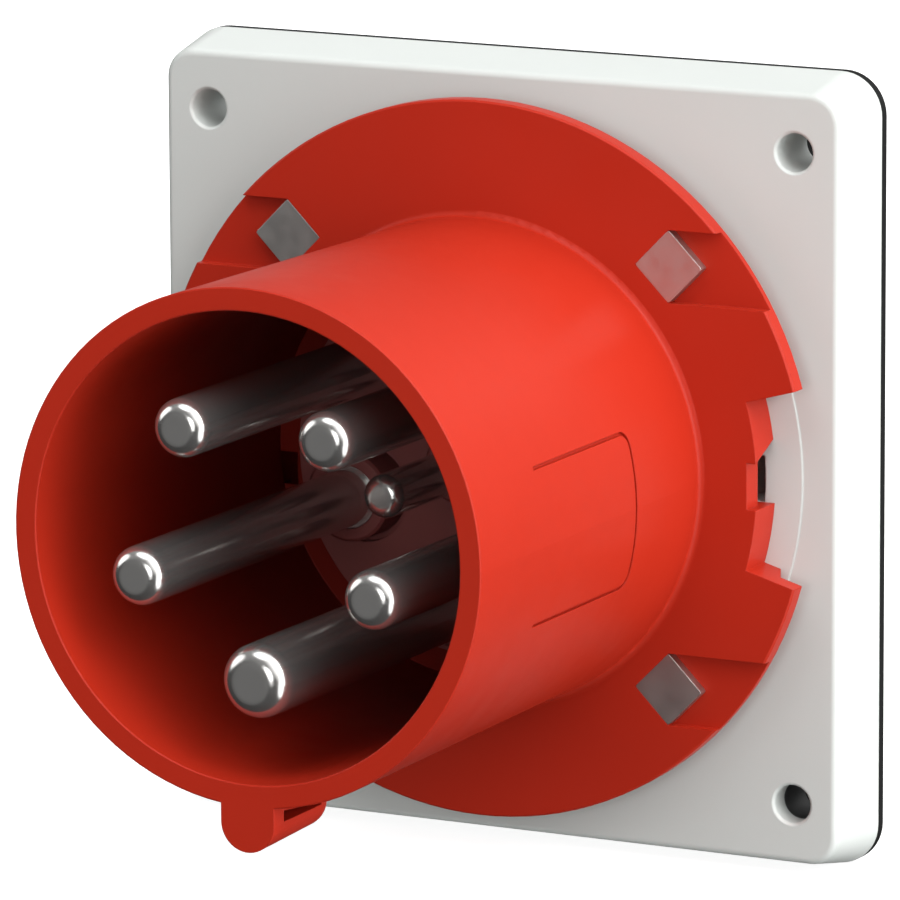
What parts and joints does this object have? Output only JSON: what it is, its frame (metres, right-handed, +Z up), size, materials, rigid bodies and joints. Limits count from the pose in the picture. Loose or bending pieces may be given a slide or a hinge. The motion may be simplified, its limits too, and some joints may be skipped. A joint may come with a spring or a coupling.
{
  "type": "pin and sleeve inlet",
  "caption": "Square-flanged panel inlet: a red sleeve with a key shields round contact pins on a dark carrier, with screw terminals behind the panel.",
  "frame": {"origin": "on the sleeve's axis, in the plane where the gasket meets the panel, at the centre of the mounting holes", "axes": "-Y out of the sleeve's mouth, +Y through the panel, +Z up with the key and earth pin at the bottom"},
  "size_m": [0.107, 0.124, 0.11],
  "materials": {
    "red_plastic": "satin moulded",
    "grey_plastic": "satin moulded",
    "dark_plastic": "matt moulded",
    "black_rubber": "matt",
    "nickel_plate": "nickel plated and polished",
    "stainless": "fine brushed",
    "steel_zinc": "zinc plated"
  },
  "bodies": {
    "root": {"mounting_flange": "grey_plastic", "panel_gasket": "black_rubber", "inlet_sleeve": "red_plastic", "body_seal": "black_rubber", "carrier_seal": "black_rubber", "contact_carrier": "dark_plastic", "terminal_block": "dark_plastic", "line_pin_1": "nickel_plate", "line_pin_2": "nickel_plate", "line_pin_3": "nickel_plate", "neutral_pin": "nickel_plate", "earth_pin": "nickel_plate", "pilot_pin": "nickel_plate", "body_bolt_1": "stainless", "body_nut_1": "stainless", "body_bolt_2": "stainless", "body_nut_2": "stainless", "body_bolt_3": "stainless", "body_nut_3": "stainless", "body_bolt_4": "stainless", "body_nut_4": "stainless", "carrier_screw_1": "steel_zinc", "carrier_screw_2": "steel_zinc", "carrier_screw_3": "steel_zinc", "carrier_screw_4": "steel_zinc"},
    "line_1_pad": {"line_1_pressure_pad": "steel_zinc"},
    "line_1_screw": {"line_1_clamp_screw": "steel_zinc"},
    "line_2_pad": {"line_2_pressure_pad": "steel_zinc"},
    "line_2_screw": {"line_2_clamp_screw": "steel_zinc"},
    "line_3_pad": {"line_3_pressure_pad": "steel_zinc"},
    "line_3_screw": {"line_3_clamp_screw": "steel_zinc"},
    "neutral_pad": {"neutral_pressure_pad": "steel_zinc"},
    "neutral_screw": {"neutral_clamp_screw": "steel_zinc"},
    "earth_pad": {"earth_pressure_pad": "steel_zinc"},
    "earth_screw": {"earth_clamp_screw": "steel_zinc"},
    "pilot_pad": {"pilot_pressure_pad": "steel_zinc"},
    "pilot_screw": {"pilot_clamp_screw": "steel_zinc"}
  },
  "joints": [
    {"name": "line_1_pad_slide", "type": "slide", "parent": "root", "child": "line_1_pad", "axis": [0.5878, 0, -0.809], "range_m": [0, 0.005]},
    {"name": "line_1_screw_turn", "type": "hinge", "parent": "line_1_pad", "child": "line_1_screw", "pos_m": [-0.01073, 0.0195, 0.01477], "axis": [0.5878, 0, -0.809], "range_deg": [0, 1800]},
    {"name": "line_2_pad_slide", "type": "slide", "parent": "root", "child": "line_2_pad", "axis": [-0.5878, 0, -0.809], "range_m": [0, 0.005]},
    {"name": "line_2_screw_turn", "type": "hinge", "parent": "line_2_pad", "child": "line_2_screw", "pos_m": [0.01073, 0.0195, 0.01477], "axis": [-0.5878, 0, -0.809], "range_deg": [0, 1800]},
    {"name": "line_3_pad_slide", "type": "slide", "parent": "root", "child": "line_3_pad", "axis": [-0.9511, 0, 0.309], "range_m": [0, 0.005]},
    {"name": "line_3_screw_turn", "type": "hinge", "parent": "line_3_pad", "child": "line_3_screw", "pos_m": [0.01736, 0.0195, -0.00564], "axis": [-0.9511, 0, 0.309], "range_deg": [0, 1800]},
    {"name": "neutral_pad_slide", "type": "slide", "parent": "root", "child": "neutral_pad", "axis": [0.9511, 0, 0.309], "range_m": [0, 0.005]},
    {"name": "neutral_screw_turn", "type": "hinge", "parent": "neutral_pad", "child": "neutral_screw", "pos_m": [-0.01736, 0.0195, -0.00564], "axis": [0.9511, 0, 0.309], "range_deg": [0, 1800]},
    {"name": "earth_pad_slide", "type": "slide", "parent": "root", "child": "earth_pad", "axis": [0, 0, 1], "range_m": [0, 0.005]},
    {"name": "earth_screw_turn", "type": "hinge", "parent": "earth_pad", "child": "earth_screw", "pos_m": [0, 0.0195, -0.01825], "axis": [0, 0, 1], "range_deg": [0, 1800]},
    {"name": "pilot_pad_slide", "type": "slide", "parent": "root", "child": "pilot_pad", "axis": [0, 0, -1], "range_m": [0, 0.003]},
    {"name": "pilot_screw_turn", "type": "hinge", "parent": "pilot_pad", "child": "pilot_screw", "pos_m": [0, 0.0355, 0], "axis": [0, 0, -1], "range_deg": [0, 1542.86]}
  ],
  "couplings": [
    {"joint": "line_1_screw_turn", "follows": "line_1_pad_slide", "rad_per_m": 6283.2},
    {"joint": "line_2_screw_turn", "follows": "line_2_pad_slide", "rad_per_m": 6283.2},
    {"joint": "line_3_screw_turn", "follows": "line_3_pad_slide", "rad_per_m": 6283.2},
    {"joint": "neutral_screw_turn", "follows": "neutral_pad_slide", "rad_per_m": 6283.2},
    {"joint": "earth_screw_turn", "follows": "earth_pad_slide", "rad_per_m": 6283.2},
    {"joint": "pilot_screw_turn", "follows": "pilot_pad_slide", "rad_per_m": 8976}
  ]
}
